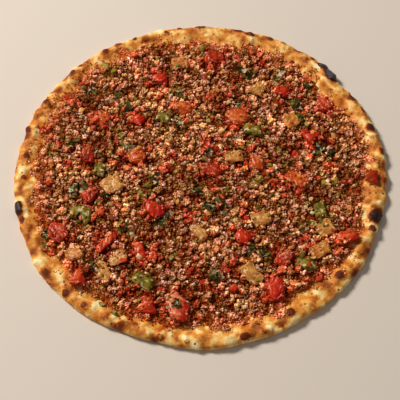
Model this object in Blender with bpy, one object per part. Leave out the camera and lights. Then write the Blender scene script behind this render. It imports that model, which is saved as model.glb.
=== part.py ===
"""Lahmacun: a thin round flatbread with a low, blistered rim, under a baked layer of crumbly mince
that holds diced tomato, green pepper and onion. It lies flat, topping up. Metres, +Z up, with the
origin under the middle of the bread."""

import math
import random

import bmesh
import bpy
from mathutils import Euler, Matrix, Vector
from mathutils.geometry import delaunay_2d_cdt

MM = 0.001

# The bread, in millimetres
LIP_RADIUS = 144.8  # to the outer lip
BED_RADIUS = 129.0  # the edge of the mince, where the rim starts
FLAT_RADIUS = 118.0  # inside this the dough is flat under the mince
BASE_THICKNESS = 3.2
EDGE_RISE = 0.7  # how far the dough has risen where the mince ends
RIM_HEIGHT = 6.6
STEPS = 112  # facets round the bread

# The mince
GAP = 0.3  # left between touching pieces
MINCE_TOP = 8.0
MINCE_EDGE = 2.0  # thickness of the layer at its edge
LUMP_SPACING = 9.2
LUMP_RISE = 1.2

# The diced vegetables that are baked into it
TOMATO_THICKNESS = 4.6
PEPPER_THICKNESS = 3.6
ONION_THICKNESS = 3.0
CHUNK_TOP = 9.9  # the middle of a piece's upper face
CHUNK_BEVEL = 1.3
CHUNK_TILT = 7.0  # degrees, at most
CORNER_SPREAD = {3: 1.25, 4: 2 / math.sqrt(2), 5: 1.14}  # so that each outline fills its length
PEPPER_SAG = 1.6
DOUGH_MARGIN = 0.2  # more room over the dough, whose facets bulge between corners
POCKET_CLEARANCE = 0.6  # pushed out at the corners, which leaves about GAP at the faces

# Unevenness as waves round the bread: (waves in a turn, height in mm, angle of a crest in degrees)
LIP_WAVES = ((2, 0.6, 42), (5, 0.6, 0), (7, 0.45, 14), (8, 0.5, 6), (13, 0.35, 20), (19, 0.3, 7))
BED_WAVES = (
    (1, 0.9, 241), (3, 0.8, 15), (6, 0.8, 9), (7, 1.1, 15), (8, 1.5, 17), (9, 0.9, 12),
    (17, 0.8, 4), (23, 0.7, 11), (31, 0.6, 2),
)
CREST_WAVES = ((3, 0.25, 20), (9, 0.35, 5), (14, 0.3, 17), (22, 0.25, 9))

# Puffed blisters on the rim: (angle in degrees, inset from the lip, radius, rise)
BLISTERS = (
    (42, 4, 10, 1.5), (27, 5, 8, 0.7), (17, 4, 7, 0.8), (3, 8, 9, 0.8), (344, 5, 10, 1.5),
    (331, 7, 8, 0.7), (319, 8, 8, 1.3), (308, 6, 7, 0.6), (299, 9, 8, 1.3), (283, 4, 8, 1.0),
    (270, 8, 9, 0.8), (259, 6, 7, 0.8), (247, 4, 7, 0.9), (240, 8, 8, 0.6), (233, 5, 7, 0.9),
    (225, 4, 7, 0.9), (217, 4, 7, 0.9), (206, 6, 8, 0.8), (194, 4, 9, 1.1), (182, 8, 7, 1.0),
    (174, 7, 6, 0.8), (164, 4, 7, 0.8), (152, 4, 7, 0.8), (138, 6, 8, 0.7), (124, 6, 8, 0.7),
    (111, 7, 8, 0.7), (98, 5, 7, 0.7), (84, 8, 9, 0.8), (74, 6, 8, 0.9), (58, 7, 8, 0.7),
)

# Dice and wedges: (x, y, length, width, turn in degrees, corners)
TOMATO = (
    (-33, 88, 15, 11, -25, 5), (-51, 48, 14, 11, -15, 5), (-14, 58, 16, 12, -10, 5),
    (12, 109, 17, 11, 8, 4), (67, 76, 15, 12, -20, 5), (88, 31, 18, 17, 55, 3),
    (30, 50, 17, 15, -50, 4), (100, 62, 14, 13, 40, 5), (-34, -35, 17, 14, -35, 5),
    (-50, 13, 14, 12, 20, 4), (9, 1, 17, 13, -20, 5), (44, 7, 12, 11, 80, 4),
    (74, -8, 19, 12, -38, 4), (111, -58, 16, 10, 20, 4), (-89, -93, 14, 18, -6, 3),
    (-107, -54, 18, 14, 115, 5), (-70, -63, 20, 7, 48, 4), (-45, -71, 17, 9, 102, 4),
    (-38, -115, 17, 16, -14, 3), (-16, -116, 26, 16, -72, 5), (33, -58, 15, 13, -35, 5),
    (55, -101, 20, 16, 85, 5), (62, -76, 14, 11, 60, 4), (-79, 48, 16, 14, 30, 5),
    (-85, -22, 14, 11, 100, 5), (-88, 14, 16, 9, 97, 4),
)
PEPPER = (
    (-41, -94, 17, 11, -35, 4), (-29, 49, 12, 9, -20, 4), (42, 37, 15, 9, -8, 4),
    (78, -81, 16, 8, -22, 4), (91, -35, 14, 9, 100, 4), (-78, 1, 12, 9, 80, 4),
)
ONION = (
    (38, -89, 19, 13, -48, 4), (46, -43, 15, 12, 20, 4), (27, 12, 15, 11, 10, 4),
    (94, -52, 13, 12, 35, 4), (89, -69, 16, 11, 25, 4), (-93, -72, 13, 13, 10, 5),
    (-61, -76, 14, 11, 15, 4), (-72, -88, 16, 11, -50, 4), (73, 46, 12, 12, 30, 4),
    (48, 77, 13, 11, 60, 4), (-68, -13, 15, 14, 35, 4), (-1, -54, 17, 9, -50, 4),
    (-17, 103, 13, 12, 15, 4),
)
PEPPER_RING = (-91, -40)  # the middle of the open ring
RING_RADIUS = 7.0
RING_WALL = 5.0
RING_SWEEP = 270  # degrees, from its first end, so that the ring is open below
RING_START = 295
RIM_TOMATO = (133, -6, 12, 11, 80, 4)  # lies on the rim beside the mince
RIM_TOMATO_THICKNESS = 2.6


def at(radius, angle):
    return radius * math.cos(angle), radius * math.sin(angle)


def wave(angle, terms):
    """The sum of the terms' waves at this angle, in millimetres."""
    return sum(rise * math.cos(count * (angle - math.radians(crest))) for count, rise, crest in terms)


def lip_radius(angle):
    return LIP_RADIUS + wave(angle, LIP_WAVES)


def middle_of_lip():
    """The middle of the uneven outline's bounding box, which becomes the origin."""
    angles = [2 * math.pi * step / STEPS for step in range(STEPS)]
    places = [at(lip_radius(angle), angle) for angle in angles]
    return [(min(values) + max(values)) / 2 for values in zip(*places)]


def bed_radius(angle):
    return BED_RADIUS + wave(angle, BED_WAVES)


def smooth_step(value):
    value = min(max(value, 0.0), 1.0)
    return value * value * (3 - 2 * value)


def blister_rise(x, y):
    """How far the blisters lift the rim at this place."""
    rise = 0.0
    for degrees, inset, radius, height in BLISTERS:
        angle = math.radians(degrees)
        middle = lip_radius(angle) - inset
        away = math.hypot(x - middle * math.cos(angle), y - middle * math.sin(angle))
        rise = max(rise, height * smooth_step(1 - away / radius))
    return rise


def dough_top(x, y):
    """The height of the bread's upper face at this place, up to its crest and over to the lip."""
    angle = math.atan2(y, x)
    bed = bed_radius(angle)
    distance = math.hypot(x, y)
    if distance <= FLAT_RADIUS:
        return BASE_THICKNESS
    if distance <= bed:
        return BASE_THICKNESS + EDGE_RISE * smooth_step((distance - FLAT_RADIUS) / (bed - FLAT_RADIUS))
    across = (distance - bed) / (lip_radius(angle) - bed)
    crest = RIM_HEIGHT + wave(angle, CREST_WAVES)
    inner = BASE_THICKNESS + EDGE_RISE
    if across < 0.58:
        height = inner + (crest - inner) * smooth_step(across / 0.58)
    else:
        height = BASE_THICKNESS + (crest - BASE_THICKNESS) * math.sqrt(
            max(0.0, 1 - ((across - 0.58) / 0.42) ** 2)
        )
    return height + blister_rise(x, y) * math.sin(math.pi * min(across, 1.0)) ** 0.5


def material(name, colour, roughness):
    made = bpy.data.materials.new(name)
    made.use_nodes = True
    shader = made.node_tree.nodes["Principled BSDF"]
    shader.inputs["Base Color"].default_value = (*colour, 1.0)
    shader.inputs["Roughness"].default_value = roughness
    return made


def add_object(name, bm, finish, smooth_angle=40.0):
    """A closed body from bm, whose sizes are in millimetres, with the bread's middle at the origin."""
    middle_x, middle_y = middle_of_lip()
    bmesh.ops.translate(bm, vec=(-middle_x, -middle_y, 0), verts=bm.verts)
    bmesh.ops.scale(bm, vec=(MM, MM, MM), verts=bm.verts)
    bmesh.ops.recalc_face_normals(bm, faces=bm.faces)
    mesh = bpy.data.meshes.new(name)
    bm.to_mesh(mesh)
    bm.free()
    if finish:
        mesh.materials.append(finish)
    mesh.shade_smooth()
    mesh.set_sharp_from_angle(angle=math.radians(smooth_angle))
    made = bpy.data.objects.new(name, mesh)
    bpy.context.scene.collection.objects.link(made)
    return made


def crust():
    """The flatbread, turned from its section and then made uneven."""
    # Across the rim, from the bed at 0 to the lip at 1.
    across = (0.0, 0.2, 0.4, 0.58, 0.76, 0.9, 0.97, 1.0)
    under = ((1.0, 1.7), (0.988, 0.7), (0.972, 0.15), (0.955, 0.0))  # share of the lip's radius, height
    bm = bmesh.new()
    section = [Vector((0, 0, BASE_THICKNESS)), Vector((FLAT_RADIUS, 0, BASE_THICKNESS))]
    for share in across:
        section.append(Vector((BED_RADIUS + share * (LIP_RADIUS - BED_RADIUS), 0, BASE_THICKNESS)))
    for share, height in under:
        section.append(Vector((share * LIP_RADIUS, 0, height)))
    section.append(Vector((0, 0, 0)))
    verts = [bm.verts.new(point) for point in section]
    edges = [bm.edges.new(pair) for pair in zip(verts, verts[1:])]
    bmesh.ops.spin(
        bm, geom=verts + edges, cent=(0, 0, 0), axis=(0, 0, 1), angle=2 * math.pi, steps=STEPS,
        use_merge=True,
    )
    bmesh.ops.remove_doubles(bm, verts=bm.verts, dist=0.001)
    for vert in bm.verts:
        distance = math.hypot(vert.co.x, vert.co.y)
        if distance < 1:
            continue
        angle = math.atan2(vert.co.y, vert.co.x)
        if vert.co.z < BASE_THICKNESS - 0.001:
            vert.co.xy = at(distance * lip_radius(angle) / LIP_RADIUS, angle)
        elif distance > BED_RADIUS - 0.001:
            share = (distance - BED_RADIUS) / (LIP_RADIUS - BED_RADIUS)
            bed = bed_radius(angle)
            vert.co.xy = at(bed + share * (lip_radius(angle) - bed), angle)
            vert.co.z = dough_top(*vert.co.xy)
    return bm


def lump_middles():
    """A jittered hexagonal layout of places inside the mince's edge."""
    chance = random.Random(5)
    row_step = LUMP_SPACING * math.sqrt(3) / 2
    rows = int(BED_RADIUS / row_step) + 1
    middles = []
    for row in range(-rows, rows + 1):
        for column in range(-rows, rows + 1):
            x = (column + 0.5 * (row % 2)) * LUMP_SPACING + chance.uniform(-1.9, 1.9)
            y = row * row_step + chance.uniform(-1.9, 1.9)
            if math.hypot(x, y) < bed_radius(math.atan2(y, x)) - 0.6 * LUMP_SPACING:
                middles.append(Vector((x, y)))
    return middles


def mince_height(x, y, lump):
    """The upper face, which falls away towards the edge, with a lump from -1 to 1 on it."""
    inset = bed_radius(math.atan2(y, x)) - math.hypot(x, y)
    low = BASE_THICKNESS + EDGE_RISE + GAP + MINCE_EDGE
    return low + (MINCE_TOP + LUMP_RISE * lump - low) * smooth_step((inset + 2.0) / 11.0)


def mince_layer():
    """The mince: its underside runs along the dough, its top is triangulated between lumps."""
    bm = bmesh.new()
    angles = [2 * math.pi * step / STEPS for step in range(STEPS)]
    ring = [Vector(at(bed_radius(angle), angle)) for angle in angles]
    ring_edges = [(step, (step + 1) % STEPS) for step in range(STEPS)]
    places, _, faces, *_ = delaunay_2d_cdt(ring + lump_middles(), ring_edges, [], 1, 1e-6)
    chance = random.Random(8)
    top = [
        bm.verts.new((*place, mince_height(*place, chance.uniform(-1, 1)))) for place in places
    ]
    for face in faces:
        bm.faces.new([top[index] for index in face])
    edge_low = BASE_THICKNESS + EDGE_RISE + GAP
    rim = [edge for edge in bm.edges if edge.is_boundary]
    below = bmesh.ops.extrude_edge_only(bm, edges=rim)["geom"]
    bottom_verts = [item for item in below if isinstance(item, bmesh.types.BMVert)]
    for vert in bottom_verts:
        vert.co.z = edge_low
    bottom = [item for item in below if isinstance(item, bmesh.types.BMEdge)]
    inner = bmesh.ops.extrude_edge_only(bm, edges=bottom)["geom"]
    inner_verts = [item for item in inner if isinstance(item, bmesh.types.BMVert)]
    for vert in inner_verts:
        angle = math.atan2(vert.co.y, vert.co.x)
        vert.co = (*at(FLAT_RADIUS, angle), BASE_THICKNESS + GAP)
    loop = [item for item in inner if isinstance(item, bmesh.types.BMEdge)]
    bmesh.ops.holes_fill(bm, edges=loop, sides=0)
    return bm


def slab(corners, length, width, thickness, chance):
    """A slab whose outline has the given number of uneven corners, its top face near z = 0."""
    bm = bmesh.new()
    bmesh.ops.create_circle(bm, cap_ends=True, segments=corners, radius=0.5)
    if corners == 4:
        bmesh.ops.rotate(bm, verts=bm.verts, matrix=Matrix.Rotation(math.radians(45), 3, "Z"))
    for vert in bm.verts:
        place = vert.co * CORNER_SPREAD[corners] * chance.uniform(0.9, 1.1)
        vert.co = (place.x * length, place.y * width, -thickness)
    made = bmesh.ops.extrude_face_region(bm, geom=bm.faces[:])["geom"]
    for vert in (item for item in made if isinstance(item, bmesh.types.BMVert)):
        vert.co = (vert.co.x * 0.94, vert.co.y * 0.94, chance.uniform(-0.4, 0.3))
    bmesh.ops.recalc_face_normals(bm, faces=bm.faces)
    return bm


def rounded(bm, thickness):
    bmesh.ops.bevel(
        bm, geom=bm.edges[:], offset=min(CHUNK_BEVEL, 0.3 * thickness), offset_type="OFFSET",
        affect="EDGES", segments=1, profile=0.5, material=-1,
    )


def arch(bm, sag):
    """Bends a strip down towards its ends, as it is cut from a pepper's curved wall."""
    reach = max(abs(vert.co.x) for vert in bm.verts)
    for share in (-0.4, 0.4):
        bmesh.ops.bisect_plane(
            bm, geom=[*bm.verts, *bm.edges, *bm.faces], plane_co=(share * reach, 0, 0),
            plane_no=(1, 0, 0),
        )
    for vert in bm.verts:
        vert.co.z += sag * (0.5 - (vert.co.x / reach) ** 2)


def open_ring():
    """The open pepper ring: a rounded section swept round most of a turn, with both ends shut."""
    bm = bmesh.new()
    half = RING_WALL / 2
    verts = []
    for step in range(6):
        turn = math.radians(60 * step)
        verts.append(bm.verts.new((RING_RADIUS + half * math.cos(turn), 0, half * math.sin(turn) - half)))
    face = bm.faces.new(verts)
    bmesh.ops.spin(
        bm, geom=[face, *face.verts, *face.edges], cent=(0, 0, 0), axis=(0, 0, 1),
        angle=math.radians(RING_SWEEP), steps=10,
    )
    bmesh.ops.rotate(bm, verts=bm.verts, matrix=Matrix.Rotation(math.radians(RING_START), 3, "Z"))
    return bm


def laid(bm, x, y, height, turn, chance):
    """Turns and tilts a piece and sets it down with its middle at this place."""
    tilt = Euler(
        (
            math.radians(chance.uniform(-CHUNK_TILT, CHUNK_TILT)),
            math.radians(chance.uniform(-CHUNK_TILT, CHUNK_TILT)),
            math.radians(turn),
        )
    ).to_matrix()
    bmesh.ops.rotate(bm, cent=(0, 0, 0), matrix=tilt, verts=bm.verts)
    bmesh.ops.translate(bm, vec=(x, y, height), verts=bm.verts)
    sunk = max(dough_top(vert.co.x, vert.co.y) + GAP - vert.co.z for vert in bm.verts)
    bmesh.ops.translate(bm, vec=(0, 0, max(0.0, sunk + DOUGH_MARGIN)), verts=bm.verts)
    return bm


def add_pocket(name, bm, pockets):
    """A hidden cutter, a little larger than the shape in bm, that hollows the mince round it."""
    bmesh.ops.recalc_face_normals(bm, faces=bm.faces)
    bm.normal_update()
    for vert in bm.verts:
        vert.co += vert.normal * POCKET_CLEARANCE
    cutter = add_object(name + "_pocket", bm, None)
    cutter.hide_render = True
    cutter.display_type = "WIRE"
    pockets.objects.link(cutter)
    bpy.context.scene.collection.objects.unlink(cutter)


def add_chunk(name, place, height, thickness, sag, finish, pockets, chance):
    """One piece of vegetable, and the pocket that it lies in."""
    x, y, length, width, turn, corners = place
    piece = slab(corners, length, width, thickness, chance)
    if sag:
        arch(piece, sag)
    laid(piece, x, y, height + chance.uniform(-0.4, 0.4), turn, chance)
    add_pocket(name, piece.copy(), pockets)
    rounded(piece, thickness)
    add_object(name, piece, finish)


def build():
    for old in list(bpy.data.objects):
        bpy.data.objects.remove(old)
    dough = material("baked dough", (0.78, 0.52, 0.26), 0.7)
    meat = material("baked mince", (0.30, 0.11, 0.05), 0.6)
    red = material("tomato", (0.62, 0.05, 0.02), 0.25)
    green = material("green pepper", (0.22, 0.24, 0.03), 0.3)
    tan = material("onion", (0.62, 0.36, 0.16), 0.35)

    pockets = bpy.data.collections.new("pockets")
    bpy.context.scene.collection.children.link(pockets)
    add_object("crust", crust(), dough)
    mince = add_object("mince_layer", mince_layer(), meat)

    chance = random.Random(11)
    for kind, places, thickness, sag, finish in (
        ("tomato", TOMATO, TOMATO_THICKNESS, 0, red),
        ("pepper", PEPPER, PEPPER_THICKNESS, PEPPER_SAG, green),
        ("onion", ONION, ONION_THICKNESS, 0, tan),
    ):
        for number, place in enumerate(places, 1):
            name = f"{kind}_{number:02d}"
            add_chunk(name, place, CHUNK_TOP, thickness, sag, finish, pockets, chance)
    add_chunk(
        "tomato_on_rim", RIM_TOMATO, BASE_THICKNESS, RIM_TOMATO_THICKNESS, 0, red, pockets, chance
    )
    pepper_ring = laid(open_ring(), *PEPPER_RING, CHUNK_TOP, 0, chance)
    add_pocket("pepper_ring", pepper_ring.copy(), pockets)
    add_object("pepper_ring", pepper_ring, green)

    cut = mince.modifiers.new("pockets", "BOOLEAN")
    cut.operand_type = "COLLECTION"
    cut.collection = pockets
    cut.operation = "DIFFERENCE"
    cut.solver = "EXACT"


build()
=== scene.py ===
"""Looks of the lahmacun: a thin flatbread with a blistered, charred rim under baked spiced mince.
The solids give every place and size. This script gives the bread its browning, breaks the mince
layer up into crumbs over a smaller core, and bakes the diced vegetables and the parsley into it."""

import math
import random

import bmesh
import bpy
import numpy as np
from mathutils import Euler, Matrix, Vector, noise
from mathutils.bvhtree import BVHTree


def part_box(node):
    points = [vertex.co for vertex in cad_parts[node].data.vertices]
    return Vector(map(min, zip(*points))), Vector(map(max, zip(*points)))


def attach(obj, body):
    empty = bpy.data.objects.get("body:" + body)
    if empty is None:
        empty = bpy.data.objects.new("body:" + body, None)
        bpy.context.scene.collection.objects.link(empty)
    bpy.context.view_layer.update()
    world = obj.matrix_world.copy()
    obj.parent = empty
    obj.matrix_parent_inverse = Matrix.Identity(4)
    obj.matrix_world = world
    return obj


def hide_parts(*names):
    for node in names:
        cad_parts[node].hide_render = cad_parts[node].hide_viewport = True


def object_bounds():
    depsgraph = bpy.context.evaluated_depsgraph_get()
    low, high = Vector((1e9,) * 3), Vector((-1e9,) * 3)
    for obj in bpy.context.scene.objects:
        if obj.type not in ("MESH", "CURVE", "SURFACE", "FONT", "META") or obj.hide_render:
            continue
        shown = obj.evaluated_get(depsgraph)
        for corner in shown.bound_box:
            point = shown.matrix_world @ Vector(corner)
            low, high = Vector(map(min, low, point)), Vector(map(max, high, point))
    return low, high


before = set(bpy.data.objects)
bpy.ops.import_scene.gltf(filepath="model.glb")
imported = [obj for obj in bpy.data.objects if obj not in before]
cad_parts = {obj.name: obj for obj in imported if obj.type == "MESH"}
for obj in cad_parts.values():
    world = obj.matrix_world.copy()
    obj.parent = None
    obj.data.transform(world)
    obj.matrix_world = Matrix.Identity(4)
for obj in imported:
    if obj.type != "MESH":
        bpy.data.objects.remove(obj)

CAD_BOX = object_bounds()
MM = 0.001  # every length below is in millimetres unless it says otherwise
CEILING = CAD_BOX[1][2] / MM + 0.2  # no crumb, leaf or piece of vegetable stands higher
ROOT = "root"
noise.seed_set(4)  # noise_vector starts from the clock otherwise

# ------------------------------ camera, floor and light

CAMERA_RISE = 60.7  # degrees above the table
CAMERA_DISTANCE = 0.8  # metres
CAMERA_TARGET = Vector((-0.0004, -0.0212, 0.0))
LENS = 93.0

KEY_SIDE = Vector((-0.62, 0.42, 0.72))  # the soft key light, from the back left
KEY_DISTANCE = 2.4  # metres
KEY_SIZE = 0.6  # metres
KEY_WATTS = 62.0
SKY = 0.20
FLOOR_SIZE = 3.0  # metres
FLOOR_GAP = 0.0002  # metres


def colour(code):
    """The linear colour of an sRGB hex code."""
    parts = [int(code[place:place + 2], 16) / 255 for place in (1, 3, 5)]
    return [part / 12.92 if part <= 0.04045 else ((part + 0.055) / 1.055) ** 2.4 for part in parts]


def tones(*codes):
    return [np.array(colour(code)) for code in codes]


def add(tree, kind, inputs=None, **settings):
    """A node of this kind; inputs gives each named socket a value or another node's output."""
    node = tree.nodes.new("ShaderNode" + kind)
    for key, value in settings.items():
        setattr(node, key, value)
    for socket, value in (inputs or {}).items():
        if isinstance(value, bpy.types.NodeSocket):
            tree.links.new(value, node.inputs[socket])
        else:
            node.inputs[socket].default_value = value
    return node


def new_material(name):
    made = bpy.data.materials.new(name)
    made.use_nodes = True
    tree = made.node_tree
    return made, tree, tree.nodes["Principled BSDF"]


def smooth_step(value):
    value = min(max(value, 0.0), 1.0)
    return value * value * (3 - 2 * value)


def set_view():
    rise = math.radians(CAMERA_RISE)
    back = Vector((0, -math.cos(rise), math.sin(rise)))
    data = bpy.data.cameras.new("camera")
    data.lens = LENS
    data.sensor_width = 36
    camera = bpy.data.objects.new("camera", data)
    camera.location = CAMERA_TARGET + back * CAMERA_DISTANCE
    camera.rotation_euler = back.to_track_quat("Z", "Y").to_euler()
    bpy.context.scene.collection.objects.link(camera)
    bpy.context.scene.camera = camera
    bpy.context.scene.view_settings.view_transform = "Standard"


def set_light():
    world = bpy.data.worlds.new("studio")
    world.use_nodes = True
    background = world.node_tree.nodes["Background"]
    background.inputs["Color"].default_value = (*colour("#fffaf4"), 1)
    background.inputs["Strength"].default_value = SKY
    bpy.context.scene.world = world
    data = bpy.data.lights.new("key", "AREA")
    data.energy = KEY_WATTS
    data.size = KEY_SIZE
    data.color = colour("#fffaf3")
    key = bpy.data.objects.new("key", data)
    key.location = KEY_SIDE.normalized() * KEY_DISTANCE
    key.rotation_euler = KEY_SIDE.to_track_quat("Z", "Y").to_euler()
    bpy.context.scene.collection.objects.link(key)


def set_floor():
    bm = bmesh.new()
    bmesh.ops.create_grid(bm, x_segments=1, y_segments=1, size=FLOOR_SIZE)
    mesh = bpy.data.meshes.new("floor")
    bm.to_mesh(mesh)
    bm.free()
    # A painted studio table: matt, pale and warm, so that the food's own colours stand out.
    plaster, tree, shader = new_material("matt painted plaster")
    shader.inputs["Roughness"].default_value = 0.75
    shader.inputs["Base Color"].default_value = (*colour("#ddd1c4"), 1)
    mesh.materials.append(plaster)
    floor = bpy.data.objects.new("floor", mesh)
    floor.location.z = CAD_BOX[0][2] - FLOOR_GAP
    bpy.context.scene.collection.objects.link(floor)


# ------------------------------ the solids, measured

GRID_REACH = 150.0  # half the width of the grids that cover the food
RAY_TOP, RAY_BOTTOM = 60, -20  # where rays start, well above and well below the food
UP, DOWN = Vector((0, 0, 1)), Vector((0, 0, -1))
DOUGH_TOP = 3.2  # the bread's upper face under the topping


def node_mesh(name):
    """A merged copy of a solid as a bmesh, in millimetres."""
    bm = bmesh.new()
    bm.from_mesh(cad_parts[name].data)
    bmesh.ops.scale(bm, vec=(1 / MM, 1 / MM, 1 / MM), verts=bm.verts)
    bmesh.ops.remove_doubles(bm, verts=bm.verts, dist=0.001)
    return bm


def node_tree(name):
    bm = node_mesh(name)
    tree = BVHTree.FromBMesh(bm)
    bm.free()
    return tree


class Edge:
    """The distance from the middle to a solid's outline, by angle."""

    def __init__(self, name, bins=120):
        bm = node_mesh(name)
        places = np.array([vert.co for vert in bm.verts])
        bm.free()
        angles = np.arctan2(places[:, 1], places[:, 0])
        reach = np.hypot(places[:, 0], places[:, 1])
        window = 2.2 * math.pi / bins
        self.reach = []
        for step in range(bins):
            middle = -math.pi + 2 * math.pi * (step + 0.5) / bins
            apart = np.abs((angles - middle + math.pi) % (2 * math.pi) - math.pi)
            self.reach.append(float(reach[apart < window].max()))

    def __call__(self, angle):
        bins = len(self.reach)
        place = (angle + math.pi) / (2 * math.pi) * bins - 0.5
        before = math.floor(place)
        low, high = self.reach[before % bins], self.reach[(before + 1) % bins]
        return low + (high - low) * (place - before)


BED = Edge("mince_layer")
LIP = Edge("crust")
CRUST_TREE = node_tree("crust")
CHUNK_NAMES = sorted(set(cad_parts) - {"crust", "mince_layer"})
CHUNK_TREES = {name: node_tree(name) for name in CHUNK_NAMES}
CHUNK_BOXES = {name: [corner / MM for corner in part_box(name)] for name in CHUNK_NAMES}


def dough_height(x, y):
    """The height of the bread's upper face at this place."""
    hit = CRUST_TREE.ray_cast(Vector((x, y, RAY_TOP)), DOWN)[0]
    return hit.z if hit else DOUGH_TOP


class Cover:
    """Where the vegetables lie: for each cell of a grid, the underside and top of what is there."""

    def __init__(self, cell=1.0):
        self.cell = cell
        self.found = {}
        for name in CHUNK_NAMES:
            low, high = CHUNK_BOXES[name]
            tree = CHUNK_TREES[name]
            for column in range(self.index(low.x), self.index(high.x) + 1):
                for row in range(self.index(low.y), self.index(high.y) + 1):
                    x, y = column * cell - GRID_REACH, row * cell - GRID_REACH
                    top = tree.ray_cast(Vector((x, y, RAY_TOP)), DOWN)[0]
                    if top:
                        under = tree.ray_cast(Vector((x, y, RAY_BOTTOM)), UP)[0]
                        self.found[column, row] = (name, under.z, top.z)

    def index(self, value):
        return int(round((value + GRID_REACH) / self.cell))

    def __call__(self, x, y):
        return self.found.get((self.index(x), self.index(y)))

    def deep(self, x, y, margin):
        """The same, where the vegetable also reaches this far to each side."""
        sides = ((margin, 0), (-margin, 0), (0, margin), (0, -margin))
        return self(x, y) if all(self(x + dx, y + dy) for dx, dy in sides) else None


COVER = Cover()


class Nearness:
    """How close a place is to any of these discs: 1 on one, fading to 0 over about this far."""

    def __init__(self, discs, fade, cell=2.0):
        self.cell = cell
        steps = np.arange(-GRID_REACH, GRID_REACH + cell, cell)
        across, up = np.meshgrid(steps, steps, indexing="ij")
        nearest = np.full(across.shape, 1e6)
        for x, y, radius in discs:
            nearest = np.minimum(nearest, np.hypot(across - x, up - y) - radius)
        self.values = np.exp(-(nearest.clip(0, None) / fade) ** 2)

    def __call__(self, x, y):
        column, row = (int(round((value + GRID_REACH) / self.cell)) for value in (x, y))
        return float(self.values[column, row])


def chunk_discs(kind):
    """Middle and mean radius of each node of this kind."""
    found = []
    for name in CHUNK_NAMES:
        if name.startswith(kind):
            low, high = CHUNK_BOXES[name]
            radius = (high.x - low.x + high.y - low.y) / 4
            found.append(((low.x + high.x) / 2, (low.y + high.y) / 2, radius))
    return found


# ------------------------------ finished pieces


def finish(name, mesh, finish_material, replaces=(), smooth=True):
    """Puts a mesh that is in millimetres into the scene, in metres, riding on the bread."""
    mesh.transform(Matrix.Scale(MM, 4))
    mesh.materials.clear()
    mesh.materials.append(finish_material)
    if smooth:
        mesh.shade_smooth()
    piece = bpy.data.objects.new(name, mesh)
    bpy.context.scene.collection.objects.link(piece)
    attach(piece, ROOT)
    if replaces:
        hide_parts(*replaces)


def mesh_of(name, bm):
    bmesh.ops.recalc_face_normals(bm, faces=bm.faces)
    mesh = bpy.data.meshes.new(name)
    bm.to_mesh(mesh)
    bm.free()
    return mesh


def made_by(operator_result, kind):
    """The vertices, edges or faces among what an operator made."""
    return [item for item in operator_result["geom"] if isinstance(item, kind)]


def subdivided(bm, levels):
    """The bmesh after Subdivision Surface."""
    mesh = bpy.data.meshes.new("blank")
    bm.to_mesh(mesh)
    bm.free()
    blank = bpy.data.objects.new("blank", mesh)
    bpy.context.scene.collection.objects.link(blank)
    modifier = blank.modifiers.new("round", "SUBSURF")
    modifier.levels = modifier.render_levels = levels
    graph = bpy.context.evaluated_depsgraph_get()
    done = bmesh.new()
    done.from_object(blank, graph)
    bpy.data.objects.remove(blank)
    bpy.data.meshes.remove(mesh)
    return done


def blank_arrays(bm):
    """The bmesh as an array of points and a list of faces."""
    bmesh.ops.recalc_face_normals(bm, faces=bm.faces)
    bm.verts.ensure_lookup_table()
    points = np.array([vert.co for vert in bm.verts])
    faces = [[vert.index for vert in face.verts] for face in bm.faces]
    bm.free()
    return points, faces


def joined(name, parts):
    """One mesh of these (points, faces, tints) parts, and the tint of each of its vertices."""
    points, faces, tints, start = [], [], [], 0
    for part_points, part_faces, part_tints in parts:
        points.append(part_points)
        faces.extend([[start + index for index in face] for face in part_faces])
        tints.append(part_tints)
        start += len(part_points)
    mesh = bpy.data.meshes.new(name)
    mesh.from_pydata(np.concatenate(points), [], faces)
    return mesh, np.concatenate(tints)


def set_numbers(mesh, name, values):
    """Gives each vertex a number, under this name."""
    layer = mesh.attributes.new(name, "FLOAT", "POINT")
    layer.data.foreach_set("value", np.asarray(values, np.float32))


def set_tints(mesh, tints):
    """Gives each vertex its own colour."""
    layer = mesh.attributes.new("tint", "FLOAT_COLOR", "POINT")
    rgba = np.ones((len(tints), 4), np.float32)
    rgba[:, :3] = tints
    layer.data.foreach_set("color", rgba.ravel())


# ------------------------------ the flatbread

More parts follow.
